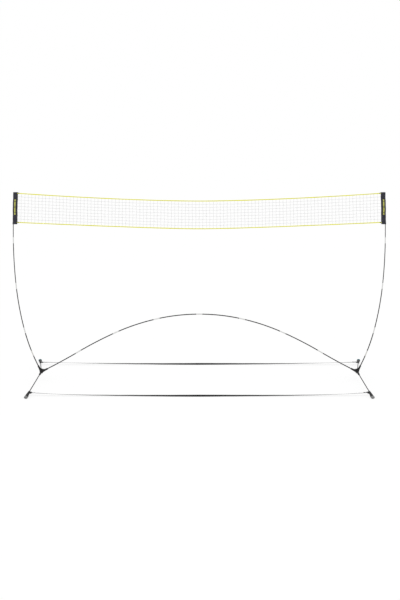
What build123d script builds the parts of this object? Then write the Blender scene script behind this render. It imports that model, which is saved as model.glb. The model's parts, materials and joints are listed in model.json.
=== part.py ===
"""Portable badminton net: a shock-corded pole frame that stands on four feet and holds a short net.

Millimetres. +X runs along the net, +Y from the front of the court to the back, +Z up. The origin is on the
floor, below the middle of the net. The frame is the same on both sides of the X = 0 and Y = 0 planes.
"""

from build123d import *

import os
from dataclasses import dataclass
from math import cos, radians, sin

os.makedirs("parts", exist_ok=True)

# ---- Driving dimensions -------------------------------------------------------------------------------

# The low arch that joins the two hubs: half of it, from the apex outwards.
ARCH_APEX_HEIGHT = 551.5
ARCH_SECTION = 350.0
ARCH_HEADINGS = (0.0, -13.1, -24.6, -31.2, -27.5)  # degrees above horizontal, at each joint

# Each upright, from its hub to its tip.
UPRIGHT_SECTIONS = (375.0, 375.0, 375.0, 385.0)
UPRIGHT_HEADINGS = (65.0, 77.0, 85.5, 91.0, 94.2)  # degrees above horizontal, at each joint
UPRIGHT_DIAMETERS = (8.0, 7.4, 6.8, 6.0)

# Each leg, from its hub to its foot.
LEG_SPLAY = 7.2  # degrees outwards, seen from above
LEG_DROOP = 5.74  # degrees below horizontal
LEG_DIAMETER = 7.4

POLE_DIAMETER = 8.0
POLE_BORE = 4.2
POLE_LEAST_WALL = 1.2
POLE_FIT = 0.05  # radial clearance of a pole in its socket or ferrule
CORD_DIAMETER = 2.5
CORD_END_GAP = 2.0  # from the end of a leg's cord to the end of its pole

FERRULE_LENGTH = 50.0
FERRULE_WALL = 0.9
MARKER_START = 150.0  # along the upright's first section, from the hub's centre
MARKER_LENGTH = 46.0
MARKER_WALL = 0.35

TIP_LENGTH = 16.0
TIP_DIAMETER = 8.4
TIP_FIT = 0.1  # room round the bent pole in the straight cap
TIP_DOME = 1.6
TIP_ROUNDING = 1.5

# The moulded hub.
HUB_ARM = 58.0  # centre to the mouth of a socket
HUB_SOCKET_FLOOR = 16.0  # centre to the bottom of a socket
HUB_CORE_RADIUS = 15.0
HUB_ARM_ROOT_RADIUS = 13.0
HUB_ARM_FLARE = ((14.0, 10.3), (30.0, 8.3))  # distance along an arm and its radius there
HUB_MOUTH_RADIUS = 7.0
HUB_VOID_RADIUS = 8.0
HUB_CORD_HOLE = 3.6
HUB_BEAD = 4.0  # length of the bead round each socket's mouth
HUB_BEAD_RISE = 0.7
HUB_BEAD_SLOPE = 0.7
HUB_WEB = 8.0  # thickness of the webs between the arms
HUB_WEB_MARGIN = 6.0  # from a socket's mouth back to the tip of a web
WEB_UP_ARCH = 27.0  # from the centre to the middle of each web's free edge
WEB_ARCH_LEG = 21.0
WEB_UP_LEG = 17.0

# The boot on the end of each leg, measured along the leg from the hub's centre.
BOOT_START = 415.0
BOOT_END = 537.0
BOOT_OUTLINE = ((0.0, 7.0, 7.0), (18.0, 8.6, 8.2), (42.0, 10.6, 8.8))  # along it, half width, half height
BOOT_MOUTH = (13.0, 9.4)
BOOT_LEG_DEPTH = 68.0
BOOT_CAVITY = 34.0
BOOT_WALL = 2.6
LUG_CENTRE = 438.0
LUG_LENGTH = 35.0
LUG_REACH = 20.0  # from the leg's centre line to the outside of the lug
LUG_BAR = 3.5
LUG_THICKNESS = 4.0
LUG_SLOT = 4.5
LUG_PLAY = 2.0  # how much longer the slot is than the strap is wide
SOLE_START = 478.0
SOLE_END = 535.0
SOLE_WIDTH = 14.0
SOLE_DEPTH = 12.0
PLUG_RIM = (12.4, 8.8)
PLUG_RIM_DEPTH = 2.4
PLUG_CHAMFER = 0.8
PLUG_DISH = (6.5, 4.2)
PLUG_DISH_DEPTH = 1.2
PLUG_SPIGOT = 14.0
PLUG_WALL = 2.0

# The ground straps.
STRAP_WIDTH = 25.0
STRAP_THICKNESS = 1.5
STRAP_MIDDLE_HEIGHT = 6.6
STRAP_TILT_MIDDLE = 22.0  # degrees, with the back edge up
STRAP_TILT_END = -24.0
STRAP_SLACK = {"front": (32.0, 6.0), "rear": (0.0, 2.5)}  # bow outwards, and how late the ends rise

# The net, with its tapes and the sleeves that slip over the uprights.
NET_TOP = 1550.0
SLEEVE_BOTTOM = 1292.0
SLEEVE_WIDTH = 38.5
SLEEVE_OUTER_BOTTOM = 1491.5
SLEEVE_OUTER_TOP = 1479.0
SLEEVE_THICKNESS = 11.6
SLEEVE_WALL = 1.2
SLEEVE_CORNER = 4.0
CHANNEL_WIDTH = 28.5
CHANNEL_CORNER = 3.0
TAPE_HEIGHT = 7.0
TAPE_THICKNESS = 1.6
NET_THICKNESS = 0.8
NET_HALF_SPAN = 1440.0
NET_GAP = 0.3  # between the net's ends and the sleeves that they are sewn to
TOP_TAPE = (1479.0, 62.0, 1.6)  # height in the middle, rise to the ends, power of the curve
BOTTOM_TAPE = (1254.5, 51.5, 1.25)

SIDES = {"left": -1, "right": 1}
ENDS = {"front": -1, "rear": 1}


# ---- Curves -------------------------------------------------------------------------------------------


@dataclass
class Bend:
    """The centre line of one stretch of pole: an arc, or a straight run where turn is 0, in the XZ plane."""

    side: int  # -1 mirrors it to the left
    x: float
    z: float
    heading: float
    turn: float
    length: float

    def offset(self, s):
        if self.turn == 0:
            return s * cos(self.heading), s * sin(self.heading)
        radius = self.length / self.turn
        angle = self.heading + self.turn * s / self.length
        return radius * (sin(angle) - sin(self.heading)), radius * (cos(self.heading) - cos(angle))

    def at(self, s):
        dx, dz = self.offset(s)
        return Vector(self.side * (self.x + dx), 0, self.z + dz)

    def draw(self, start, end):
        """Adds the stretch from start to end to the BuildLine that is open."""
        if self.turn == 0:
            return Line(self.at(start), self.at(end))
        return ThreePointArc(self.at(start), self.at((start + end) / 2), self.at(end))


def bends(side, x, z, headings, lengths):
    """One Bend for each length, each starting where and as the one before it ends."""
    run = []
    for first, last, length in zip(headings[:-1], headings[1:], lengths):
        bend = Bend(side, x, z, radians(first), radians(last - first), length)
        run.append(bend)
        dx, dz = bend.offset(length)
        x, z = x + dx, z + dz
    return run


def arch_half(side):
    """The arch from its apex to one hub, with its last stretch straight inside the hub."""
    lengths = [ARCH_SECTION] * 3 + [ARCH_SECTION - HUB_ARM, HUB_ARM]
    return bends(side, 0, ARCH_APEX_HEIGHT, ARCH_HEADINGS + ARCH_HEADINGS[-1:], lengths)


HUB_DX, HUB_DZ = arch_half(1)[-1].offset(HUB_ARM)
HUB_X = arch_half(1)[-1].x + HUB_DX
HUB_Z = arch_half(1)[-1].z + HUB_DZ


def upright(side):
    """The upright from its hub to its tip, with its first stretch straight inside the hub."""
    lengths = [HUB_ARM, UPRIGHT_SECTIONS[0] - HUB_ARM, *UPRIGHT_SECTIONS[1:]]
    return bends(side, HUB_X, HUB_Z, UPRIGHT_HEADINGS[:1] + UPRIGHT_HEADINGS, lengths)


def hub_centre(side):
    return Vector(side * HUB_X, 0, HUB_Z)


def leg_direction(side, end):
    flat = cos(radians(LEG_DROOP))
    return Vector(
        side * flat * sin(radians(LEG_SPLAY)),
        end * flat * cos(radians(LEG_SPLAY)),
        -sin(radians(LEG_DROOP)),
    )


def leg_plane(side, end, s):
    """The plane across a leg at s from the hub's centre: its x is level and points towards the net's middle."""
    direction = leg_direction(side, end)
    inward = Vector(0, 0, 1).cross(direction).normalized() * (side * end)
    return Plane(origin=hub_centre(side) + direction * s, x_dir=inward, z_dir=direction)


def tape_height(x, curve):
    middle, rise, power = curve
    return middle + rise * (abs(x) / NET_HALF_SPAN) ** power


# ---- Poles --------------------------------------------------------------------------------------------


def tube(stretches, outer, inner=0.0):
    """A tube, or a rod where inner is 0, along stretches of (bend, start, end) that follow each other."""
    with BuildPart() as made:
        with BuildLine() as path:
            for bend, first, last in stretches:
                bend.draw(first, last)
        with BuildSketch(Plane(origin=path.line @ 0, z_dir=path.line % 0)):
            Circle(outer / 2)
            if inner:
                Circle(inner / 2, mode=Mode.SUBTRACT)
        sweep(path=path.wire())
    return made


def save(name, made):
    made.part.label = name
    export_step(made.part, f"parts/{name}.step")


def arch_sections_and_ferrules():
    """Eight sections numbered from left to right, and the seven ferrules that join them."""
    for side in SIDES.values():
        half = arch_half(side)
        for i in range(3):
            number = 5 + i if side > 0 else 4 - i
            save(f"arch_section_{number}", tube([(half[i], 0, ARCH_SECTION)], POLE_DIAMETER, POLE_BORE))
        last = [
            (half[3], 0, half[3].length),
            (half[4], 0, HUB_ARM - HUB_SOCKET_FLOOR),
        ]
        number = 8 if side > 0 else 1
        save(f"arch_section_{number}", tube(last, POLE_DIAMETER, POLE_BORE))
        for i in range(1, 4):
            number = 4 + side * i
            save(
                f"arch_ferrule_{number}",
                ferrule(half[i - 1], half[i], POLE_DIAMETER, POLE_DIAMETER),
            )
    left, right = arch_half(-1)[0], arch_half(1)[0]
    reach = FERRULE_LENGTH / 2
    middle = [(left, reach, 0), (right, 0, reach)]
    bore = POLE_DIAMETER + 2 * POLE_FIT
    save("arch_ferrule_4", tube(middle, bore + 2 * FERRULE_WALL, bore))


def ferrule(before, after, diameter_before, diameter_after):
    """A metal sleeve over the joint of two sections, bored to fit each of them."""
    reach = FERRULE_LENGTH / 2
    outer = max(diameter_before, diameter_after) + 2 * POLE_FIT + 2 * FERRULE_WALL
    start = before.length - reach
    lower = tube([(before, start, before.length)], outer, diameter_before + 2 * POLE_FIT)
    upper = tube([(after, 0, reach)], outer, diameter_after + 2 * POLE_FIT)
    with BuildPart() as made:
        add(lower.part)
        add(upper.part)
    return made


def uprights():
    for name, side in SIDES.items():
        run = upright(side)
        stretches = [
            [(run[0], HUB_SOCKET_FLOOR, HUB_ARM), (run[1], 0, run[1].length)],
            [(run[2], 0, run[2].length)],
            [(run[3], 0, run[3].length)],
            [(run[4], 0, run[4].length)],
        ]
        for number, (stretch, diameter) in enumerate(zip(stretches, UPRIGHT_DIAMETERS), 1):
            bore = min(POLE_BORE, diameter - 2 * POLE_LEAST_WALL)
            save(f"upright_{name}_section_{number}", tube(stretch, diameter, bore))
        for number in (1, 2, 3):
            below, above = UPRIGHT_DIAMETERS[number - 1 : number + 1]
            save(f"upright_{name}_ferrule_{number}", ferrule(run[number], run[number + 1], below, above))
        save(f"upright_{name}_tip", tip_cap(run[4]))


def tip_cap(last):
    """The soft domed cap that the net's sleeve rests on."""
    end = last.at(last.length)
    direction = (end - last.at(last.length - 1)).normalized()
    radius = TIP_DIAMETER / 2
    plane = Plane(origin=end, x_dir=(0, 1, 0), z_dir=direction)
    with BuildPart() as cap:
        with BuildSketch(plane.offset(-TIP_LENGTH)):
            Circle(radius)
            Circle(UPRIGHT_DIAMETERS[-1] / 2 + TIP_FIT, mode=Mode.SUBTRACT)
        extrude(amount=TIP_LENGTH)
        with BuildSketch(plane):
            Circle(radius)
        extrude(amount=TIP_DOME)
        fillet(cap.faces().sort_by(Axis(end, direction))[-1].edges(), radius=TIP_ROUNDING)
    return cap


def marker_sleeves():
    """The plain pale sleeve that is shrunk on the lowest section of each upright."""
    first, last = MARKER_START - HUB_ARM, MARKER_START - HUB_ARM + MARKER_LENGTH
    inner = UPRIGHT_DIAMETERS[0]
    pair = [tube([(upright(side)[1], first, last)], inner + 2 * MARKER_WALL, inner) for side in SIDES.values()]
    with BuildPart() as made:
        for sleeve in pair:
            add(sleeve.part)
    return made


def shock_cords():
    """The elastic cords inside the arch, from hub to hub, and inside each upright, from its hub to its tip."""
    left, right = arch_half(-1), arch_half(1)
    route = [(bend, bend.length, 0) for bend in reversed(left[:-1])]
    route += [(bend, 0, bend.length) for bend in right[:-1]]
    reach = HUB_ARM - HUB_SOCKET_FLOOR
    route = [(left[-1], reach, 0)] + route + [(right[-1], 0, reach)]
    save("arch_shock_cord", tube(route, CORD_DIAMETER))
    for name, side in SIDES.items():
        run = upright(side)
        route = [(run[0], HUB_SOCKET_FLOOR, HUB_ARM)] + [(bend, 0, bend.length) for bend in run[1:]]
        save(f"upright_{name}_shock_cord", tube(route, CORD_DIAMETER))


# ---- Hubs ---------------------------------------------------------------------------------------------


def direction_of(angle, side):
    return Vector(side * cos(radians(angle)), 0, sin(radians(angle)))


def hub(side):
    """A star with four flared sockets, webbed together, round a void that takes the cords' knots."""
    centre = hub_centre(side)
    up = direction_of(UPRIGHT_HEADINGS[0], side)
    arch = direction_of(180 + ARCH_HEADINGS[-1], side)
    front, rear = leg_direction(side, -1), leg_direction(side, 1)
    sockets = (
        (up, UPRIGHT_DIAMETERS[0]),
        (arch, POLE_DIAMETER),
        (front, LEG_DIAMETER),
        (rear, LEG_DIAMETER),
    )
    webs = (
        (up, arch, WEB_UP_ARCH),
        (arch, front, WEB_ARCH_LEG),
        (arch, rear, WEB_ARCH_LEG),
        (up, front, WEB_UP_LEG),
        (up, rear, WEB_UP_LEG),
    )
    arms = [flared_arm(centre, direction) for direction, _ in sockets]
    ribs = [web(centre, first, second, depth) for first, second, depth in webs]
    with BuildPart() as made:
        with Locations(centre):
            Sphere(HUB_CORE_RADIUS)
        for piece in arms + ribs:
            add(piece.part)
        with Locations(centre):
            Sphere(HUB_VOID_RADIUS, mode=Mode.SUBTRACT)
        for direction, diameter in sockets:
            with BuildSketch(Plane(origin=centre + direction * HUB_SOCKET_FLOOR, z_dir=direction)):
                Circle(diameter / 2 + POLE_FIT)
            extrude(amount=HUB_ARM, mode=Mode.SUBTRACT)
            with BuildSketch(Plane(origin=centre, z_dir=direction)):
                Circle(HUB_CORD_HOLE / 2)
            extrude(amount=HUB_SOCKET_FLOOR + 1, mode=Mode.SUBTRACT)
    return made


def flared_arm(centre, direction):
    """One socket's outside: wide at the hub's core, then slim, with a bead round its mouth."""
    across = Vector(0, 1, 0) if abs(direction.Y) < 0.5 else Vector(1, 0, 0)
    plane = Plane(origin=centre, x_dir=direction, z_dir=direction.cross(across))
    bead_start = HUB_ARM - HUB_BEAD
    bead_radius = HUB_MOUTH_RADIUS + HUB_BEAD_RISE
    with BuildPart() as arm:
        with BuildSketch(plane):
            with BuildLine():
                Polyline(
                    (0, 0),
                    (0, HUB_ARM_ROOT_RADIUS),
                    *HUB_ARM_FLARE,
                    (bead_start, HUB_MOUTH_RADIUS),
                    (bead_start + HUB_BEAD_SLOPE, bead_radius),
                    (HUB_ARM - HUB_BEAD_SLOPE, bead_radius),
                    (HUB_ARM, HUB_MOUTH_RADIUS),
                    (HUB_ARM, 0),
                    (0, 0),
                )
            make_face()
        revolve(axis=Axis(centre, direction))
    return arm


def web(centre, first, second, depth):
    """The web between two arms, whose free edge is an arc that passes at depth from the centre."""
    reach = HUB_ARM - HUB_WEB_MARGIN
    bisector = (first + second).normalized()
    normal = first.cross(second).normalized()
    plane = Plane(origin=centre, x_dir=first, z_dir=normal)
    tip_a = plane.to_local_coords(centre + first * reach)
    tip_b = plane.to_local_coords(centre + second * reach)
    middle = plane.to_local_coords(centre + bisector * depth)
    with BuildPart() as rib:
        with BuildSketch(plane):
            with BuildLine():
                Line((0, 0), (tip_a.X, tip_a.Y))
                ThreePointArc((tip_a.X, tip_a.Y), (middle.X, middle.Y), (tip_b.X, tip_b.Y))
                Line((tip_b.X, tip_b.Y), (0, 0))
            make_face()
        extrude(amount=HUB_WEB / 2, both=True)
    return rib


# ---- Legs and feet ------------------------------------------------------------------------------------


def leg(side, end):
    with BuildPart() as made:
        with BuildSketch(leg_plane(side, end, HUB_SOCKET_FLOOR)):
            Circle(LEG_DIAMETER / 2)
            Circle(POLE_BORE / 2, mode=Mode.SUBTRACT)
        extrude(amount=BOOT_START + BOOT_LEG_DEPTH - HUB_SOCKET_FLOOR)
    return made


def leg_cord(side, end):
    """The elastic cord inside a leg."""
    stop = BOOT_START + BOOT_LEG_DEPTH - CORD_END_GAP
    with BuildPart() as made:
        with BuildSketch(leg_plane(side, end, HUB_SOCKET_FLOOR)):
            Circle(CORD_DIAMETER / 2)
        extrude(amount=stop - HUB_SOCKET_FLOOR)
    return made


def boot(side, end):
    """The moulded boot: a round neck that widens to an oval end, a strap lug and a flat sole."""
    outline = (*BOOT_OUTLINE, (BOOT_END - BOOT_START, *BOOT_MOUTH))
    slot_middle = LUG_REACH - LUG_BAR - LUG_SLOT / 2
    with BuildPart() as made:
        for along, wide, high in outline:
            with BuildSketch(leg_plane(side, end, BOOT_START + along)):
                Ellipse(wide, high)
        loft()
        with BuildSketch(lug_plane(side, end)):
            with Locations((LUG_REACH / 2, 0)):
                RectangleRounded(LUG_REACH, LUG_LENGTH, 3.0)
        extrude(amount=LUG_THICKNESS / 2, both=True)
        with BuildSketch(Plane.XY):
            with BuildLine():
                Polyline(*sole_outline(side, end), close=True)
            make_face()
        extrude(amount=SOLE_DEPTH)
        with BuildSketch(leg_plane(side, end, BOOT_START)):
            Circle(LEG_DIAMETER / 2)
        extrude(amount=BOOT_LEG_DEPTH, mode=Mode.SUBTRACT)
        with BuildSketch(leg_plane(side, end, BOOT_END - BOOT_CAVITY)):
            Ellipse(BOOT_MOUTH[0] - BOOT_WALL, BOOT_MOUTH[1] - BOOT_WALL)
        extrude(amount=BOOT_CAVITY + 1, mode=Mode.SUBTRACT)
        with BuildSketch(lug_plane(side, end)):
            with Locations((slot_middle, 0)):
                RectangleRounded(LUG_SLOT, STRAP_WIDTH + LUG_PLAY, LUG_SLOT / 3)
        extrude(amount=LUG_THICKNESS, both=True, mode=Mode.SUBTRACT)
    return made


def lug_plane(side, end):
    """The plane of the strap lug: x points inwards from the leg, and y lies along the leg."""
    across = leg_plane(side, end, LUG_CENTRE)
    return Plane(origin=across.origin, x_dir=across.x_dir, z_dir=across.x_dir.cross(across.z_dir))


def sole_outline(side, end):
    """The corners of the flat sole, on the floor under the wide end of the boot."""
    corners = []
    for along, across in (
        (SOLE_START, -0.5),
        (SOLE_END, -0.5),
        (SOLE_END, 0.5),
        (SOLE_START, 0.5),
    ):
        plane = leg_plane(side, end, along)
        point = plane.origin + plane.x_dir * (across * SOLE_WIDTH)
        corners.append((point.X, point.Y))
    return corners


def boot_plug(side, end):
    """The plug in the boot's wide end, with a rim on the outside and a dished face."""
    wide, high = BOOT_MOUTH[0] - BOOT_WALL, BOOT_MOUTH[1] - BOOT_WALL
    outward = Axis(hub_centre(side), leg_direction(side, end))
    with BuildPart() as made:
        with BuildSketch(leg_plane(side, end, BOOT_END - PLUG_SPIGOT)):
            Ellipse(wide, high)
            Ellipse(wide - PLUG_WALL, high - PLUG_WALL, mode=Mode.SUBTRACT)
        extrude(amount=PLUG_SPIGOT)
        with BuildSketch(leg_plane(side, end, BOOT_END)):
            Ellipse(*PLUG_RIM)
        extrude(amount=PLUG_RIM_DEPTH)
        chamfer(made.faces().sort_by(outward)[-1].edges(), length=PLUG_CHAMFER)
        with BuildSketch(leg_plane(side, end, BOOT_END + PLUG_RIM_DEPTH - PLUG_DISH_DEPTH)):
            Ellipse(*PLUG_DISH)
        extrude(amount=PLUG_DISH_DEPTH, mode=Mode.SUBTRACT)
    return made


def legs_and_feet():
    for end_name, end in ENDS.items():
        for side_name, side in SIDES.items():
            place = f"{end_name}_{side_name}"
            save(f"leg_{place}", leg(side, end))
            save(f"boot_{place}", boot(side, end))
            save(f"boot_plug_{place}", boot_plug(side, end))
            save(f"leg_shock_cord_{place}", leg_cord(side, end))


# ---- Straps -------------------------------------------------------------------------------------------


def strap(end_name):
    """The webbing between two feet on one side of the net, which turns over along its length."""
    end = ENDS[end_name]
    bow, lateness = STRAP_SLACK[end_name]
    lug = lug_plane(1, end)
    anchor = lug.origin + lug.x_dir * (LUG_REACH + 1)
    stations = 16
    with BuildPart() as made:
        for i in range(stations + 1):
            t = 2 * i / stations - 1
            height = STRAP_MIDDLE_HEIGHT + (anchor.Z - STRAP_MIDDLE_HEIGHT) * abs(t) ** lateness
            origin = (anchor.X * t, anchor.Y + end * bow * (1 - t * t), height)
            tilt = STRAP_TILT_MIDDLE + (STRAP_TILT_END - STRAP_TILT_MIDDLE) * abs(t)
            along_width = (0, cos(radians(tilt)), sin(radians(tilt)))
            with BuildSketch(Plane(origin=origin, x_dir=along_width, z_dir=(1, 0, 0))):
                Rectangle(STRAP_WIDTH, STRAP_THICKNESS)
        loft(ruled=True)
    return made


# ---- Net ----------------------------------------------------------------------------------------------


def sleeve_outer(z):
    """How far out the sleeve's outer edge is at a height."""
    share = (z - SLEEVE_BOTTOM) / (NET_TOP - SLEEVE_BOTTOM)
    return SLEEVE_OUTER_BOTTOM + (SLEEVE_OUTER_TOP - SLEEVE_OUTER_BOTTOM) * share


def sleeve(side):
    """A flat fabric sleeve, shut at the top, with a channel that slips over the upright's tip."""
    ceiling = NET_TOP - SLEEVE_WALL
    with BuildPart() as made:
        for z in (SLEEVE_BOTTOM, NET_TOP):
            with BuildSketch(Plane.XY.offset(z)):
                with Locations((side * (sleeve_outer(z) - SLEEVE_WIDTH / 2), 0)):
                    RectangleRounded(SLEEVE_WIDTH, SLEEVE_THICKNESS, SLEEVE_CORNER)
        loft()
        for z in (SLEEVE_BOTTOM - 1, ceiling):
            with BuildSketch(Plane.XY.offset(z)):
                with Locations((side * (sleeve_outer(z) - SLEEVE_WALL - CHANNEL_WIDTH / 2), 0)):
                    RectangleRounded(CHANNEL_WIDTH, SLEEVE_THICKNESS - 2 * SLEEVE_WALL, CHANNEL_CORNER)
        loft(mode=Mode.SUBTRACT)
    return made


def band(low, high, thickness):
    """A thin upright strip between two edges, each given as a function of x, from sleeve to sleeve."""
    steps = 16
    ends = [edge_x(low, -1), edge_x(low, 1), edge_x(high, -1), edge_x(high, 1)]
    with BuildPart() as made:
        with BuildSketch(Plane.XZ):
            with BuildLine():
                lower = [(ends[0] + (ends[1] - ends[0]) * i / steps) for i in range(steps + 1)]
                upper = [(ends[2] + (ends[3] - ends[2]) * i / steps) for i in range(steps + 1)]
                Spline(*[(x, low(x)) for x in lower])
                Line((ends[1], low(ends[1])), (ends[3], high(ends[3])))
                Spline(*[(x, high(x)) for x in reversed(upper)])
                Line((ends[2], high(ends[2])), (ends[0], low(ends[0])))
            make_face()
        extrude(amount=thickness / 2, both=True)
    return made


def edge_x(edge, side):
    """Where an edge of the net meets the inner edge of a sleeve."""
    height = edge(NET_HALF_SPAN)
    return side * (sleeve_outer(height) - SLEEVE_WIDTH - NET_GAP)


def tape_edges(curve):
    """The lower and upper edge of a tape, each as a function of x."""
    half = TAPE_HEIGHT / 2
    return lambda x: tape_height(x, curve) - half, lambda x: tape_height(x, curve) + half


def net():
    top_low, top_high = tape_edges(TOP_TAPE)
    bottom_low, bottom_high = tape_edges(BOTTOM_TAPE)
    save("top_tape", band(top_low, top_high, TAPE_THICKNESS))
    save("bottom_tape", band(bottom_low, bottom_high, TAPE_THICKNESS))
    save("net_mesh", band(bottom_high, top_low, NET_THICKNESS))
    for name, side in SIDES.items():
        save(f"net_sleeve_{name}", sleeve(side))


# ---- The whole object ---------------------------------------------------------------------------------

arch_sections_and_ferrules()
uprights()
save("upright_marker_sleeves", marker_sleeves())
shock_cords()
for side_name, side in SIDES.items():
    save(f"hub_{side_name}", hub(side))
legs_and_feet()
for end_name in ENDS:
    save(f"ground_strap_{end_name}", strap(end_name))
net()
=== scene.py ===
"""Looks of the portable badminton net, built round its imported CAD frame. Metres, +X along the net, +Z up."""

import json
import random
from math import cos, exp, hypot, pi, radians, sin

import bpy
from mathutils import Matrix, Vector


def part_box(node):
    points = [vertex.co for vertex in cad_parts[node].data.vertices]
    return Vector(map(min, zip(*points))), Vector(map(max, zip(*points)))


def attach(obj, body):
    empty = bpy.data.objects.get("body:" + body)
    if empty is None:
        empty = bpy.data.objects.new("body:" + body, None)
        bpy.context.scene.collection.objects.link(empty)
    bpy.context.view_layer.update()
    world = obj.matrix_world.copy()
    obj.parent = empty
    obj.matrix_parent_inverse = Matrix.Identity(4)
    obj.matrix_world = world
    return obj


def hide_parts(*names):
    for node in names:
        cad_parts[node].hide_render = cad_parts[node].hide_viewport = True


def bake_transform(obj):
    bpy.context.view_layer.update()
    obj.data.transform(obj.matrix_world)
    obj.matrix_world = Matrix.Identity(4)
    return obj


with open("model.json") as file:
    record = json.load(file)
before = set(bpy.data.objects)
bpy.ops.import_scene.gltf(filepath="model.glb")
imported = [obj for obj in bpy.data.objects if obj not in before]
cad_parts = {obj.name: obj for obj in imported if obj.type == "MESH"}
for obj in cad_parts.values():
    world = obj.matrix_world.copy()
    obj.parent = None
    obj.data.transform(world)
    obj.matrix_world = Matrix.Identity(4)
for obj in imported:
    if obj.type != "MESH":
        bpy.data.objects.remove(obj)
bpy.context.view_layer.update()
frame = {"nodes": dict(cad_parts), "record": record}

SIDES = {"left": -1, "right": 1}
ENDS = {"front": -1, "rear": 1}

# ---- The camera, the light and the floor -------------------------------------------------------------

CAMERA_PLACE = (0.0055, -11.343, 3.412)
CAMERA_PITCH = 13.593  # degrees below horizontal
CAMERA_LENS = 86.6  # mm
VIEW_DEPTH = 400  # past the far edge of the floor

WHITE = (1.0, 1.0, 1.0, 1.0)
ROOM_STRENGTH = 1.0
LAMP_TARGET = Vector((0, 0, 0.5))
# Each lamp's place, the side of its square and its power.
LAMPS = {
    "key_lamp": ((-3.0, -4.5, 5.5), 3.0, 22),
    "fill_lamp": ((4.0, 2.5, 5.0), 2.5, 10),
}

FLOOR_RADIUS = 180
FLOOR_SIDES = 48
FLOOR_GREY = 0.16
FLOOR_GLOW = 0.84


def make_camera():
    camera = bpy.data.objects.new("camera", bpy.data.cameras.new("camera"))
    camera.data.lens = CAMERA_LENS
    camera.data.clip_end = VIEW_DEPTH
    camera.location = CAMERA_PLACE
    camera.rotation_euler = (radians(90 - CAMERA_PITCH), 0, 0)
    bpy.context.scene.collection.objects.link(camera)
    bpy.context.scene.camera = camera


def make_light():
    """A white room with two large, weak lamps, so that the white floor doesn't outshine the thin pieces."""
    scene = bpy.context.scene
    scene.view_settings.view_transform = "Standard"
    scene.world = bpy.data.worlds.new("room")
    scene.world.use_nodes = True
    background = scene.world.node_tree.nodes["Background"]
    background.inputs["Color"].default_value = WHITE
    background.inputs["Strength"].default_value = ROOM_STRENGTH
    for name, (place, size, power) in LAMPS.items():
        lamp = bpy.data.objects.new(name, bpy.data.lights.new(name, "AREA"))
        lamp.data.size = size
        lamp.data.energy = power
        lamp.location = place
        lamp.rotation_euler = (LAMP_TARGET - Vector(place)).to_track_quat("-Z", "Y").to_euler()
        scene.collection.objects.link(lamp)


def make_floor():
    """A round floor past the edge of any view. It glows a little, so that the shadows on it stay faint."""
    corners = [(FLOOR_RADIUS * cos(angle), FLOOR_RADIUS * sin(angle), 0) for angle in turns(FLOOR_SIDES)]
    material = plain_material("floor", (FLOOR_GREY,) * 3, 1.0)
    shader = material.node_tree.nodes["Principled BSDF"]
    shader.inputs["Specular IOR Level"].default_value = 0.0
    shader.inputs["Emission Color"].default_value = WHITE
    shader.inputs["Emission Strength"].default_value = FLOOR_GLOW
    new_object("floor", corners, [tuple(range(FLOOR_SIDES))], material)


# ---- Materials ----------------------------------------------------------------------------------------


def plain_material(name, colour, roughness):
    material = bpy.data.materials.new(name)
    material.use_nodes = True
    shader = material.node_tree.nodes["Principled BSDF"]
    shader.inputs["Base Color"].default_value = (*colour, 1)
    shader.inputs["Roughness"].default_value = roughness
    return material


class Nodes:
    """A short way to add and link the nodes of one material."""

    def __init__(self, name, colour, roughness, **sockets):
        self.material = plain_material(name, colour, roughness)
        self.tree = self.material.node_tree
        self.shader = self.tree.nodes["Principled BSDF"]
        self.place = self.tree.nodes.new("ShaderNodeTexCoord").outputs["Object"]
        for socket, value in sockets.items():
            self.shader.inputs[socket.replace("_", " ")].default_value = value

    def add(self, kind, **values):
        """A new node, with each value put in its setting or socket of that name."""
        node = self.tree.nodes.new(f"ShaderNode{kind}")
        for key, value in values.items():
            if hasattr(node, key):
                setattr(node, key, value)
            else:
                node.inputs[key.replace("_", " ")].default_value = value
        return node

    def link(self, output, target):
        self.tree.links.new(output, target)

    def noise(self, scale, detail, stretch=(1, 1, 1)):
        """Smooth noise from 0 to 1 over the object, stretched by a factor along each axis."""
        mapping = self.add("Mapping", Scale=stretch)
        noise = self.add("TexNoise", Scale=scale, Detail=detail)
        self.link(self.place, mapping.inputs["Vector"])
        self.link(mapping.outputs["Vector"], noise.inputs["Vector"])
        return noise.outputs["Fac"]

    def wave(self, scale, direction):
        """Stripes across one axis."""
        wave = self.add("TexWave", bands_direction=direction, Scale=scale)
        self.link(self.place, wave.inputs["Vector"])
        return wave.outputs["Fac"]

    def plus(self, first, second, share=1.0):
        """A share of one output, added to another."""
        node = self.add("Math", operation="MULTIPLY_ADD")
        self.link(first, node.inputs[0])
        node.inputs[1].default_value = share
        self.link(second, node.inputs[2])
        return node.outputs[0]

    def colours(self, value, low, high, start=0.3, end=0.7):
        """The base colour runs from low to high as the value runs from start to end."""
        ramp = self.add("ValToRGB")
        for stop, position, colour in zip(ramp.color_ramp.elements, (start, end), (low, high)):
            stop.position = position
            stop.color = (*colour, 1)
        self.link(value, ramp.inputs["Fac"])
        self.link(ramp.outputs["Color"], self.shader.inputs["Base Color"])

    def roughness(self, value, low, high):
        """The roughness runs from low to high as the value runs from 0 to 1."""
        spread = self.add("MapRange", To_Min=low, To_Max=high)
        self.link(value, spread.inputs["Value"])
        self.link(spread.outputs["Result"], self.shader.inputs["Roughness"])

    def bump(self, value, height, strength):
        bump = self.add("Bump", Strength=strength, Distance=height)
        self.link(value, bump.inputs["Height"])
        self.link(bump.outputs["Normal"], self.shader.inputs["Normal"])


def pole_material(name, low, high):
    """Lacquered fibreglass: smooth and dark, with faint lengthwise fibres and light handling marks."""
    n = Nodes(name, low, 0.32, Specular_IOR_Level=0.18)
    grain = n.noise(90, 4, (1, 1, 0.15))
    n.colours(grain, low, high)
    n.roughness(n.noise(25, 5), 0.26, 0.46)
    n.bump(grain, 0.00008, 0.5)
    return n.material


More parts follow.
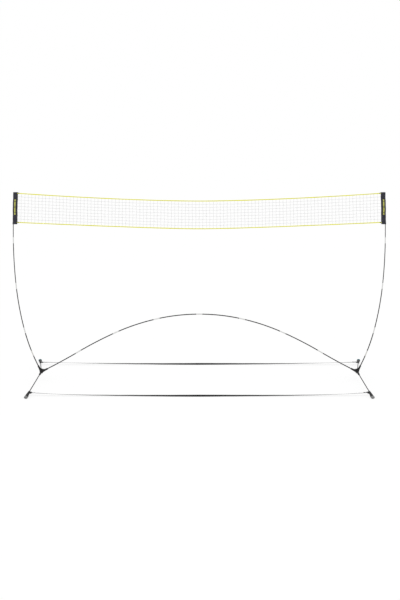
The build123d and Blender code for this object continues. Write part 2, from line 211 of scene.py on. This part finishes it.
def metal_material(name):
    """Bright drawn steel with fine lines round it."""
    n = Nodes(name, (0.68, 0.68, 0.67), 0.3, Metallic=0.85)
    lines = n.noise(400, 2, (1, 1, 3))
    n.colours(lines, (0.56, 0.56, 0.55), (0.74, 0.74, 0.73))
    n.roughness(lines, 0.24, 0.42)
    n.bump(lines, 0.00004, 0.4)
    return n.material


def moulded_material(name, low, high, smoothest, roughest, gloss=0.3):
    """Moulded plastic: a fine spark-eroded grain, and shinier patches where it is handled."""
    n = Nodes(name, low, smoothest, Specular_IOR_Level=gloss)
    n.colours(n.noise(14, 4), low, high)
    n.roughness(n.noise(30, 4), smoothest, roughest)
    n.bump(n.noise(900, 2), 0.00006, 0.6)
    return n.material


def woven_material(name, low, high, scale, axes, height, sheen):
    """Plain weave: threads over and under along two axes, with a slow change of shade."""
    n = Nodes(name, low, 0.85, Sheen_Weight=sheen, Sheen_Roughness=0.5, Specular_IOR_Level=0.2)
    weave = n.plus(n.wave(scale, axes[0]), n.wave(scale, axes[1]))
    n.colours(n.plus(weave, n.noise(22, 4), share=0.3), low, high, 0.35, 0.95)
    n.roughness(n.noise(60, 3), 0.75, 0.95)
    n.bump(weave, height, 0.8)
    return n.material


def twine_material(name):
    """Light grey twisted twine, a little uneven in shade."""
    n = Nodes(name, (0.38, 0.38, 0.37), 0.75, Specular_IOR_Level=0.3)
    n.colours(n.noise(35, 4), (0.28, 0.28, 0.28), (0.5, 0.5, 0.49))
    n.bump(n.noise(1400, 2), 0.00008, 0.7)
    return n.material


# Darkest and lightest colour of each pole.
POLES = {
    "pole_black": ((0.003, 0.003, 0.0032), (0.008, 0.008, 0.0085)),
    "leg_pole": ((0.006, 0.006, 0.0062), (0.014, 0.014, 0.0145)),
}
# Darkest and lightest colour, lowest and highest roughness, and the gloss where it isn't the usual one.
MOULDED = {
    "pale_sleeve": ((0.5, 0.49, 0.46), (0.62, 0.61, 0.58), 0.4, 0.6),
    "tip_rubber": ((0.015, 0.015, 0.015), (0.03, 0.03, 0.03), 0.6, 0.8),
    "elastic_cord": ((0.02, 0.02, 0.02), (0.06, 0.06, 0.06), 0.8, 0.9),
    "hub_plastic": ((0.002, 0.002, 0.0022), (0.006, 0.006, 0.0065), 0.26, 0.44, 0.35),
    "boot_rubber": ((0.003, 0.003, 0.0032), (0.009, 0.009, 0.0095), 0.45, 0.65, 0.25),
    "plug_grey": ((0.15, 0.15, 0.15), (0.24, 0.24, 0.24), 0.45, 0.6),
    "plug_teal": ((0.003, 0.15, 0.2), (0.008, 0.22, 0.28), 0.4, 0.55),
    "thread": ((0.4, 0.38, 0.02), (0.55, 0.52, 0.05), 0.6, 0.8),
    "dark_thread": ((0.02, 0.02, 0.022), (0.05, 0.05, 0.055), 0.6, 0.8),
}
# Darkest and lightest colour, fineness of the weave, the two axes it runs along, its height and its sheen.
WOVEN = {
    "strap_webbing": ((0.004, 0.004, 0.0042), (0.016, 0.016, 0.0165), 220, "XY", 0.0004, 0.02),
    "yellow_tape": ((0.66, 0.64, 0.004), (0.82, 0.8, 0.012), 320, "XZ", 0.0002, 0.0),
    "sleeve_fabric": ((0.016, 0.016, 0.021), (0.04, 0.04, 0.052), 330, "XZ", 0.0002, 0.08),
    "label": ((0.36, 0.36, 0.07), (0.5, 0.5, 0.13), 500, "XZ", 0.0001, 0.0),
}


def make_materials():
    made = {"ferrule_metal": metal_material("ferrule_metal"), "netting": twine_material("twine")}
    for kind, finishes in ((pole_material, POLES), (moulded_material, MOULDED), (woven_material, WOVEN)):
        for name, values in finishes.items():
            made[name] = kind(name, *values)
    return made


def dress_frame():
    """Each CAD node gets the material of its own slot in the record."""
    for part in frame["record"]["subparts"]:
        node = frame["nodes"][part["node"]]
        node.data.materials.clear()
        node.data.materials.append(MATERIALS[part["material_slot"]])
        for face in node.data.polygons:
            face.material_index = 0


# ---- Mesh tools ---------------------------------------------------------------------------------------


OFF_AXIS = Vector((0.13, 0.97, 0.21))  # a direction that no thread runs along


def turns(count):
    """Angles at equal steps round a full turn."""
    return [2 * pi * k / count for k in range(count)]


def spread(first, last, count):
    """Numbers at equal steps from first to last."""
    return [first + (last - first) * k / (count - 1) for k in range(count)]


def new_object(name, points, faces, material):
    mesh = bpy.data.meshes.new(name)
    mesh.from_pydata([tuple(p) for p in points], [], faces)
    mesh.materials.append(material)
    for face in mesh.polygons:
        face.use_smooth = True
    mesh.update()
    made = bpy.data.objects.new(name, mesh)
    bpy.context.scene.collection.objects.link(made)
    return made


class Shape:
    """Points and faces of one mesh, filled by the methods below."""

    def __init__(self):
        self.points = []
        self.faces = []

    def band(self, a, b, size):
        """Joins two rings of points, given by where each starts."""
        for k in range(size):
            m = (k + 1) % size
            self.faces.append((a + k, a + m, b + m, b + k))

    def cap(self, start, size, flip=False):
        """Shuts a ring of points with one flat face."""
        ring = tuple(range(start, start + size))
        self.faces.append(ring[::-1] if flip else ring)

    def skin(self, rings, closed=False, caps=True):
        """Skins rings of equal size, one after another, and says where each starts among the points.

        closed joins the last ring to the first.
        """
        size = len(rings[0])
        starts = [len(self.points) + i * size for i in range(len(rings))]
        for ring in rings:
            self.points.extend(ring)
        following = starts[1:] + starts[:1] if closed else starts[1:]
        for a, b in zip(starts, following):
            self.band(a, b, size)
        if caps and not closed:
            self.cap(starts[0], size, flip=True)
            self.cap(starts[-1], size)
        return starts

    def thread(self, line, radius, sides=5):
        """A round thread along a line of points."""
        rings = []
        for i, point in enumerate(line):
            ahead = line[min(i + 1, len(line) - 1)] - line[max(i - 1, 0)]
            across = ahead.cross(OFF_AXIS).normalized()
            up = across.cross(ahead).normalized()
            rings.append([point + (across * cos(angle) + up * sin(angle)) * radius for angle in turns(sides)])
        self.skin(rings)

    def bead(self, centre, size):
        """A small eight-faced lump, with size its half width along each axis."""
        start = len(self.points)
        for axis in range(3):
            for sign in (-1, 1):
                offset = Vector((0, 0, 0))
                offset[axis] = sign * size[axis]
                self.points.append(centre + offset)
        for x in (0, 1):
            for y in (2, 3):
                for z in (4, 5):
                    face = (start + x, start + y, start + z)
                    self.faces.append(face if (x + y + z) % 2 else face[::-1])

    def make(self, name, material):
        return new_object(name, self.points, self.faces, MATERIALS[material])


def facing(ring, outward):
    """The ring as it is, or turned round where its skin would otherwise face inwards."""
    return ring if outward > 0 else ring[::-1]


def put(piece, body, slot, *nodes):
    """The piece rides on a body and stands for CAD nodes, which it hides; the slot is not used."""
    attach(piece, body)
    if nodes:
        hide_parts(*nodes)


# ---- Where the net hangs, read from the frame ---------------------------------------------------------

TOP_TAPE_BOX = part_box("top_tape")
BOTTOM_TAPE_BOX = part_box("bottom_tape")
TAPE_HEIGHT = 0.007
TOP_CURVE_POWER = 1.6
BOTTOM_CURVE_POWER = 1.25
MIDDLE_ROUNDING = 0.12  # half the width over which the middle of a tape is eased into a smooth curve
NET_ENDS_HEIGHT = 1.42  # about half way up the ends of the net


def tape_line(box, power):
    """A function of x for the height of a tape's centre line, low in the middle and high at the ends."""
    low, high = box[0].z + TAPE_HEIGHT / 2, box[1].z - TAPE_HEIGHT / 2
    half_span = box[1].x
    least = (MIDDLE_ROUNDING / half_span) ** power

    def height(x):
        share = (hypot(x, MIDDLE_ROUNDING) / hypot(half_span, MIDDLE_ROUNDING)) ** power
        return low + (high - low) * (share - least) / (1 - least)

    return height


top_height = tape_line(TOP_TAPE_BOX, TOP_CURVE_POWER)
bottom_height = tape_line(BOTTOM_TAPE_BOX, BOTTOM_CURVE_POWER)


def net_end(z):
    """How far out the sleeves' inner edges are at a height."""
    bottom, top = BOTTOM_TAPE_BOX[1], TOP_TAPE_BOX[1]
    return bottom.x + (top.x - bottom.x) * (z - bottom.z) / (top.z - bottom.z)


# ---- The netting --------------------------------------------------------------------------------------

COLUMNS = 104
ROWS = 9
TWINE_RADIUS = 0.0006
KNOT = (0.0013, 0.001, 0.0013)
EDGE_INSET = 0.002  # from a tape's centre line to the edge of the netting
KNOT_STRAY = 0.0009  # how far the knots lie off their places in the plane of the net
KNOT_DEPTH = 0.0005  # and in front of it or behind it
NET_WAVE = 0.0012
SIDEWAYS_STRAY = 0.0006
DROOP = (0.0007, 0.0004)


def make_netting():
    """Knotted square mesh: every twine runs through the knots, and droops or strays a little between them."""
    draw = random.Random(7)
    knots = {}
    for i in range(COLUMNS + 1):
        for j in range(ROWS + 1):
            edge = j in (0, ROWS) or i in (0, COLUMNS)
            knots[i, j] = knot_place(2 * i / COLUMNS - 1, j / ROWS, 0.0 if edge else 1.0, draw)
    shape = Shape()
    for i in range(1, COLUMNS):
        sags = [Vector((draw.gauss(0, SIDEWAYS_STRAY), 0, 0)) for _ in range(ROWS)]
        add_twine(shape, [knots[i, j] for j in range(ROWS + 1)], sags)
    for j in range(1, ROWS):
        sags = [Vector((0, 0, -abs(draw.gauss(*DROOP)))) for _ in range(COLUMNS)]
        add_twine(shape, [knots[i, j] for i in range(COLUMNS + 1)], sags)
    for i in range(1, COLUMNS):
        for j in range(1, ROWS):
            shape.bead(knots[i, j], KNOT)
    put(shape.make("netting", "netting"), "net", "netting", "net_mesh")


def knot_place(along, share, loose, draw):
    """A knot's place, from -1 to 1 along the net and 0 to 1 up it; loose is 1 where it may stray."""
    near = along * net_end(NET_ENDS_HEIGHT)
    low, high = bottom_height(near) + EDGE_INSET, top_height(near) - EDGE_INSET
    z = low + (high - low) * share
    x = along * net_end(z)
    return Vector(
        (
            x + loose * draw.gauss(0, KNOT_STRAY),
            loose * (NET_WAVE * sin(5 * x + 2 * share) + draw.gauss(0, KNOT_DEPTH)),
            z + loose * draw.gauss(0, KNOT_STRAY),
        )
    )


def add_twine(shape, knots, sags):
    """One twine through a row of knots, pulled off the straight line by a sag between each two."""
    line = []
    for start, end, sag in zip(knots, knots[1:], sags):
        line += [start, start.lerp(end, 0.33) + sag, start.lerp(end, 0.67) + sag]
    shape.thread(line + [knots[-1]], TWINE_RADIUS)


# ---- The tapes ----------------------------------------------------------------------------------------

TAPE_STEPS = 220
TAPE_SIDES = 14
TAPE_HALF_THICKNESS = 0.00105
TAPE_TUCK = 0.004  # how far the tape runs into the sleeve
TAPE_STITCH = (0.0014, 0.00028, 0.00028)
TAPE_STITCH_PITCH = 0.0042
TAPE_STITCH_DEPTH = 0.00108  # from the tape's centre plane
TAPE_STITCH_ROWS = (-0.35, 0.45)  # from the centre line, as shares of half the tape's height
TAPE_STITCH_START = 0.02


def tape_outline():
    """Cross-section of the tape: full round the fold that holds the netting, and thin at the other edge."""
    outline = []
    for angle in turns(TAPE_SIDES):
        up = sin(angle)
        y = TAPE_HALF_THICKNESS * cos(angle) * (1.1 - 0.25 * up)
        outline.append((y, TAPE_HEIGHT / 2 * (0.35 * up**3 + 0.65 * up)))
    return outline


def make_tape(name, height, node, flip):
    """A woven tape folded over the edge of the netting and stitched; flip is 1 at the top and -1 below."""
    draw = random.Random(len(name))
    phases = [draw.uniform(0, 6) for _ in range(4)]
    end = net_end(height(net_end(NET_ENDS_HEIGHT))) + TAPE_TUCK

    def place(x, y, z):
        """A place on the tape, which leans and ripples along its length."""
        lean = 0.16 * sin(3.1 * x + phases[0]) + 0.1 * sin(11 * x + phases[1])
        ripple = 0.0005 * sin(17 * x + phases[2])
        return Vector((x, y + z * lean + ripple, height(x) + z))

    outline = tape_outline()
    rings = []
    for x in spread(-end, end, TAPE_STEPS + 1):
        swell = flip * (1 + 0.05 * sin(23 * x + phases[3]))
        rings.append(facing([place(x, y, z * swell) for y, z in outline], flip))
    shape = Shape()
    shape.skin(rings)
    put(shape.make(name, "yellow_tape"), "net", "yellow_tape", node)

    stitches = Shape()
    first = -end + TAPE_STITCH_START
    for row in TAPE_STITCH_ROWS:
        for i in range(int(-2 * first / TAPE_STITCH_PITCH)):
            for face in (-1, 1):
                z = row * TAPE_HEIGHT / 2 * flip
                centre = place(first + i * TAPE_STITCH_PITCH, face * TAPE_STITCH_DEPTH, z)
                stitches.bead(centre, TAPE_STITCH)
    put(stitches.make(f"{name}_stitches", "thread"), "net", "yellow_tape")


# ---- The sleeves --------------------------------------------------------------------------------------

SLEEVE_WIDTH = 0.0385
SLEEVE_LEAN = 0.0125  # how much farther out the sleeve's foot is than its top
SLEEVE_HEM = 0.0011  # half-thickness where the net is sewn in
SLEEVE_SLACK = 0.0004  # room for the creases, inside the CAD sleeve's half-thickness
SLEEVE_POINTS = 20  # from the outer edge to the net, along one face
SLEEVE_STEPS = 60
CHANNEL_SHARE = 0.78  # of the sleeve's width that is the open channel round the pole
CHANNEL_POWER = 0.38  # the lower, the squarer the channel is
CHANNEL_EDGE = 0.985  # the share of the channel where its outer edge is rounded off
EDGE_THICKNESS = 0.3  # of the full half-thickness
CREASING = 60  # how strongly the creases move the faces
LINING_SPAN = 0.955  # the inside skin's width and thickness, as shares of the outside's
LINING_THICKNESS = 0.84
LINING_TOP = 0.994  # where the inside skin is shut, as a share of the height

# The first and last stitch of a row, as shares of the sleeve's width or height, and how many there are.
HEM_STITCHES = (0.07, 0.93, 9)
HEM_SHARES = (0.028, 0.965)  # how far up the two hems are
HEM_STITCH = (0.0014, 0.0003, 0.0003)
SEAM_STITCHES = (0.03, 0.96, 58)
SEAM_ACROSS = 0.19  # where the seam is, as a share of the width
SEAM_STITCH = (0.0003, 0.0003, 0.0015)
STITCH_LIFT = 0.0001
# Plain bars in place of lettering: where each starts and stops, as shares of the sleeve's height.
BARS = ((0.30, 0.36), (0.375, 0.52), (0.535, 0.56), (0.575, 0.71), (0.725, 0.78))
BAR_STEPS = 8
BAR_REACH = (0.40, 0.70)  # across the sleeve, as shares of its width
BAR_LIFTS = (0.0001, 0.0007, 0.0008, 0.0007, 0.0001)  # how far a bar stands off the sleeve, from side to side

TIE_INSET = 0.004
TIE_PITCH = 0.0024
TIE_TURNS = 3
TIE_STEPS = 14
TIE_RADIUS = 0.0009
TIE_SLANT = 0.0012
TIE_HALF_DEPTH = 0.0019
TIE_HALF_HEIGHT = 0.0042


def sleeve_outline(thick):
    """Points round the sleeve, from above: an open channel, then the flat hem where the net is sewn in."""
    face = []
    for k in range(1, SLEEVE_POINTS):
        across = (1 + cos(pi * k / SLEEVE_POINTS)) / 2  # 1 at the outer edge, 0 at the net
        share = (across - (1 - CHANNEL_SHARE)) / CHANNEL_SHARE
        y = SLEEVE_HEM
        if share > CHANNEL_EDGE:
            y = thick * EDGE_THICKNESS
        elif share > 0:
            y = max(SLEEVE_HEM, thick * (4 * share * (1 - share)) ** CHANNEL_POWER)
        face.append((across * SLEEVE_WIDTH, y))
    return [(SLEEVE_WIDTH, 0.0), *face, (0.0, 0.0), *[(a, -y) for a, y in reversed(face)]]


def make_sleeve(side_name):
    """A charcoal fabric sleeve over the upright, shut at the top, with creases, stitches and yellow bars."""
    side = SIDES[side_name]
    draw = random.Random(20 + side)
    phases = [draw.uniform(0, 6) for _ in range(5)]
    low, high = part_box(f"net_sleeve_{side_name}")
    foot = max(abs(low.x), abs(high.x))
    outline = sleeve_outline((high.y - low.y) / 2 - SLEEVE_SLACK)

    def point(across, y, share):
        """A place on the creased sleeve, across it from the net outwards and a share of the way up."""
        x = foot - SLEEVE_LEAN * share - SLEEVE_WIDTH + across
        x += 0.0008 * sin(9 * share + phases[3]) + 0.0004 * sin(27 * share + phases[4])
        swell = 0.0006 * sin(34 * share + phases[0] + 60 * across) + 0.0005 * sin(71 * share + phases[1])
        swell += 0.0011 * exp(-(((share - 0.52) / 0.06) ** 2)) * sin(90 * across + phases[2])
        y *= 1 + CREASING * swell * (1 if y > 0 else -1)
        return Vector((side * x, y, low.z + (high.z - low.z) * share))

    middle = SLEEVE_WIDTH / 2
    lining = [(middle + (a - middle) * LINING_SPAN, y * LINING_THICKNESS) for a, y in outline]
    outside, inside = [], []
    for share in spread(0, 1, SLEEVE_STEPS + 1):
        outside.append(facing([point(a, y, share) for a, y in outline], side))
        inside.append(facing([point(a, y, min(share, LINING_TOP)) for a, y in lining], side))
    shape = Shape()
    size = len(outline)
    outer = shape.skin(outside, caps=False)
    inner = shape.skin(inside[::-1], caps=False)
    shape.band(inner[-1], outer[0], size)
    shape.cap(outer[-1], size)
    shape.cap(inner[0], size, flip=True)
    sleeve = shape.make(f"net_sleeve_{side_name}_fabric", "sleeve_fabric")
    put(sleeve, "net", "sleeve_fabric", f"net_sleeve_{side_name}")
    trim = [sleeve_stitches(side_name, point, outline), sleeve_bars(side_name, point, outline)]


def surface_half(outline, across):
    """The sleeve's half-thickness at a place across it."""
    nearest = min(outline, key=lambda place: abs(place[0] - across))
    return abs(nearest[1])


def sleeve_stitches(side_name, point, outline):
    """Stitch rows at the two hems and down the seam, on both faces."""
    stitches = Shape()

    def stitch(face, across, share, size):
        y = face * (surface_half(outline, across) + STITCH_LIFT)
        stitches.bead(point(across, y, share), size)

    for face in (-1, 1):
        for share in HEM_SHARES:
            for across in spread(*HEM_STITCHES):
                stitch(face, SLEEVE_WIDTH * across, share, HEM_STITCH)
        for share in spread(*SEAM_STITCHES):
            stitch(face, SLEEVE_WIDTH * SEAM_ACROSS, share, SEAM_STITCH)
    seams = stitches.make(f"net_sleeve_{side_name}_stitches", "dark_thread")
    put(seams, "net", "sleeve_fabric")
    return seams


def sleeve_bars(side_name, point, outline):
    """The yellow bars, raised a little from both faces."""
    bars = Shape()
    for face in (-1, 1):
        for first, last in BARS:
            rings = []
            for share in spread(first, last, BAR_STEPS + 1):
                ring = []
                for across, lift in zip(spread(*BAR_REACH, len(BAR_LIFTS)), BAR_LIFTS):
                    across *= SLEEVE_WIDTH
                    ring.append(point(across, face * (surface_half(outline, across) + lift), share))
                rings.append(facing(ring, face * SIDES[side_name]))
            bars.skin(rings)
    label = bars.make(f"net_sleeve_{side_name}_bars", "label")
    put(label, "net", "yellow_tape")
    return label


def make_ties(side_name):
    """Dark cord wound round each tape where it enters the sleeve."""
    ties = Shape()
    for height in (top_height, bottom_height):
        z = height(net_end(NET_ENDS_HEIGHT))
        for turn in range(TIE_TURNS):
            loop = []
            for angle in spread(0, 2 * pi, TIE_STEPS + 1):
                x = net_end(z) - TIE_INSET - TIE_PITCH * turn + TIE_SLANT * sin(angle + turn)
                y = TIE_HALF_DEPTH * cos(angle)
                loop.append(Vector((SIDES[side_name] * x, y, z + TIE_HALF_HEIGHT * sin(angle))))
            ties.thread(loop, TIE_RADIUS, 6)
    put(ties.make(f"net_ties_{side_name}", "dark_thread"), "net", "sleeve_fabric")


# ---- The ground straps --------------------------------------------------------------------------------

# The legs' angles, as in the frame.
LEG_SPLAY = radians(7.2)
LEG_DROOP = radians(5.74)

STRAP_HALF_WIDTH = 0.0125
STRAP_HALF_THICKNESS = 0.00075
STRAP_TILT_MIDDLE = radians(22)
STRAP_TILT_END = radians(-24)
STRAP_BOW = {"front": 0.032, "rear": 0.0}  # how far the middle lies out from the line between the feet
STRAP_LATENESS = {"front": 6.0, "rear": 2.5}  # how late the strap rises to the foot
STRAP_MIDDLE_HEIGHT = 0.0066
STRAP_SWAY = 0.0012
STRAP_WAVE = 0.0003
STRAP_STEPS = 150
WEBBING_STEPS = 16

# The end of the strap, folded round the bar of the boot's lug.
FOLD_STEPS = 26
FOLD_BACK = 0.034
FOLD_RADIUS = 0.0031
FOLD_RISE = FOLD_RADIUS * 0.9  # half the height of the loop round the bar
FOLD_LIFT = 0.0016
FOLD_START = -0.0025
FOLD_CENTRE = 0.002
BAR_OFFSET = 0.0023
TO_BAR, ROUND_BAR = 0.3, 0.6  # the shares of the fold at which it reaches the bar and has gone round it
TURNED_BACK = 0.9  # the share at which its width lies along the strap's again
STRAP_STITCH = (0.0008, 0.0008, 0.0003)
STRAP_STITCH_PITCH = 0.0026
# The sewn box, as places along the fold and across the webbing.
SEAM_CORNERS = [(0.72, -0.0095), (0.72, 0.0095), (0.96, 0.0095), (0.96, -0.0095)]


def leg_direction(side, end):
    """The direction in which a leg runs down from its hub."""
    level = cos(LEG_DROOP)
    return Vector((side * level * sin(LEG_SPLAY), end * level * cos(LEG_SPLAY), -sin(LEG_DROOP)))


def make_strap(end_name, side_name):
    """Half of a ground strap, from the middle of the net to one foot, with its looped and sewn end."""
    side, end = SIDES[side_name], ENDS[end_name]
    low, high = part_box(f"ground_strap_{end_name}")
    reach = high.x
    inner_edge = low.y if end > 0 else -high.y
    foot_y = end * (inner_edge + STRAP_HALF_WIDTH * cos(STRAP_TILT_END))
    foot_z = high.z - STRAP_HALF_WIDTH * abs(sin(STRAP_TILT_END))
    phase = random.Random(40 + 2 * side + end).uniform(0, 6)

    def place(t):
        """Centre and width direction at t, from 0 in the middle to 1 at the foot."""
        z = STRAP_MIDDLE_HEIGHT + (foot_z - STRAP_MIDDLE_HEIGHT) * t ** STRAP_LATENESS[end_name]
        y = foot_y + end * STRAP_BOW[end_name] * (1 - t * t)
        y += STRAP_SWAY * sin(9 * side * t) * (1 - t)
        tilt = STRAP_TILT_MIDDLE + (STRAP_TILT_END - STRAP_TILT_MIDDLE) * t
        return Vector((side * reach * t, y, z)), Vector((0, cos(tilt), sin(tilt)))

    outline = webbing_outline()
    rings = []
    for t in spread(0, 1, STRAP_STEPS + 1):
        centre, across = place(t)
        normal = Vector((1, 0, 0)).cross(across)
        wave = STRAP_WAVE * sin(40 * t + phase) * t * (1 - t) * 4
        rings.append(facing([centre + across * a + normal * (b + wave) for a, b in outline], side))
    shape = Shape()
    shape.skin(rings)
    name = f"ground_strap_{end_name}_{side_name}"
    half = shape.make(name, "strap_webbing")
    body = f"leg_{end_name}_{side_name}"
    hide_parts(f"ground_strap_{end_name}")
    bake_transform(half)
    strap_end(name, body, side, end, place(1.0), outline)


def webbing_outline():
    """Cross-section of the webbing: rounded selvedges and three shallow ribs on each face."""
    upper = []
    for a in spread(-1, 1, WEBBING_STEPS + 1):
        edge = (1 - a**8) ** 0.5
        upper.append((a * STRAP_HALF_WIDTH, STRAP_HALF_THICKNESS * edge * (0.9 + 0.1 * cos(6 * pi * a))))
    return upper + [(a, -b) for a, b in reversed(upper[1:-1])]


def strap_end(name, body, side, end, foot, outline):
    """The end of the webbing, folded round the lug's bar and sewn back on itself with a crossed box."""
    centre, across = foot
    outward = Vector((side, 0, 0))
    lug = leg_direction(side, end) * end
    bar = centre + outward * BAR_OFFSET

    def fold(share):
        """The folded end's centre, width direction and normal at a place along it."""
        turn = max(0.0, min(1.0, share / TO_BAR, (TURNED_BACK - share) / TO_BAR))
        width = across.lerp(lug, turn * turn * (3 - 2 * turn)).normalized()
        normal = outward.cross(width).normalized()
        along, lift = fold_path(share)
        ahead, up = fold_direction(share)
        return bar + outward * along + normal * lift, width, normal * ahead - outward * up

    rings = []
    for share in spread(0, 1, FOLD_STEPS + 1):
        middle, width, thick = fold(share)
        rings.append(facing([middle + width * a * 0.98 + thick * b for a, b in outline], side))
    shape = Shape()
    shape.skin(rings)
    put(shape.make(f"{name}_end", "strap_webbing"), body, "strap_webbing")

    stitches = Shape()
    seams = list(zip(SEAM_CORNERS, SEAM_CORNERS[1:] + SEAM_CORNERS[:1]))
    seams += [(SEAM_CORNERS[0], SEAM_CORNERS[2]), (SEAM_CORNERS[1], SEAM_CORNERS[3])]
    for (start, start_across), (stop, stop_across) in seams:
        length = hypot((stop - start) * FOLD_BACK / (1 - ROUND_BAR), stop_across - start_across)
        count = round(length / STRAP_STITCH_PITCH)
        for k in range(count):
            share = (k + 0.5) / count
            middle, width, thick = fold(start + (stop - start) * share)
            top = thick if thick.z > 0 else -thick
            place = middle + width * (start_across + (stop_across - start_across) * share)
            stitches.bead(place + top * STRAP_HALF_THICKNESS, STRAP_STITCH)
    put(stitches.make(f"{name}_stitches", "dark_thread"), body, "strap_webbing")


def fold_path(share):
    """(outward, up) along the folded end: over the bar, round it and back over the strap."""
    if share < TO_BAR:
        run = share / TO_BAR
        return FOLD_START + (FOLD_CENTRE - FOLD_START) * run, -FOLD_RISE * run**2
    if share < ROUND_BAR:
        angle = -pi / 2 + pi * (share - TO_BAR) / (ROUND_BAR - TO_BAR)
        return FOLD_CENTRE + FOLD_RADIUS * cos(angle), FOLD_RISE * sin(angle)
    back = (share - ROUND_BAR) / (1 - ROUND_BAR)
    return FOLD_CENTRE - FOLD_BACK * back, FOLD_RISE + (FOLD_LIFT - FOLD_RISE) * min(1.0, back * 2.2)


def fold_direction(share):
    """The folded end's own (outward, up) direction at a place along it."""
    before, after = fold_path(max(0.0, share - 0.01)), fold_path(min(1.0, share + 0.01))
    length = hypot(after[0] - before[0], after[1] - before[1])
    return (after[0] - before[0]) / length, (after[1] - before[1]) / length


# ---- The collars on the boots --------------------------------------------------------------------------

BOOT_HALF_WIDTH = 0.013
BOOT_HALF_HEIGHT = 0.0094
BOOT_TAPER = 0.03  # how fast the boot narrows behind its wide end
PLUG_RIM = 0.0024
PLUG_GAP = 0.001  # from the plug's rim to the collar's reference face
ABOVE_FLOOR = 0.0002
COLLAR_SIDES = 48
COLLAR_BORE = 0.84  # the collar's inside, as a share of its outside
COLLAR_SLOTS = {"front": "plug_grey", "rear": "plug_teal"}
# Each step of the collar's profile: distance back from the boot's end, and how far it stands off the boot.
COLLAR_PROFILE = (
    (0.0117, -0.0008),
    (0.0114, 0.0012),
    (0.0105, 0.0018),
    (0.0074, 0.0018),
    (0.0067, 0.0013),
    (0.0060, 0.0018),
    (0.0046, 0.0018),
    (0.0008, 0.0018),
    (-0.0006, 0.0013),
    (-0.0009, -0.0004),
    (-0.0009, -0.0016),
)


def make_collar(end_name, side_name):
    """The soft ribbed collar round a boot's wide end, in the colour of its plug."""
    place = f"{end_name}_{side_name}"
    out = leg_direction(SIDES[side_name], ENDS[end_name])
    wide = Vector((0, 0, 1)).cross(out).normalized()
    tall = out.cross(wide)
    low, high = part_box(f"boot_plug_{place}")
    half_depth = (high.y - low.y) / 2
    mouth = (low + high) / 2 + out * (half_depth / cos(LEG_SPLAY) - PLUG_RIM - PLUG_GAP)
    rings = []
    for back, off in COLLAR_PROFILE:
        shrink = BOOT_TAPER * max(0.0, back)
        ring = []
        for angle in turns(COLLAR_SIDES):
            spoke = wide * (BOOT_HALF_WIDTH - shrink + off) * cos(angle)
            spoke += tall * (BOOT_HALF_HEIGHT - shrink / 4 + off) * sin(angle)
            point = mouth - out * back + spoke
            point.z = max(point.z, ABOVE_FLOOR)
            ring.append(point)
        rings.append(ring)
    inside = []
    for i in (-1, 0):
        centre = mouth - out * COLLAR_PROFILE[i][0]
        inside.append([centre + (point - centre) * COLLAR_BORE for point in rings[i]])
    shape = Shape()
    shape.skin(rings + inside, closed=True)
    slot = COLLAR_SLOTS[end_name]
    put(shape.make(f"boot_collar_{place}", slot), f"leg_{place}", slot)


# ---- The whole scene ----------------------------------------------------------------------------------

MATERIALS = make_materials()
make_camera()
make_light()
make_floor()
dress_frame()
make_netting()
make_tape("top_tape_cloth", top_height, "top_tape", 1)
make_tape("bottom_tape_cloth", bottom_height, "bottom_tape", -1)
for side_name in SIDES:
    make_sleeve(side_name)
    make_ties(side_name)
    for end_name in ENDS:
        make_strap(end_name, side_name)
        make_collar(end_name, side_name)
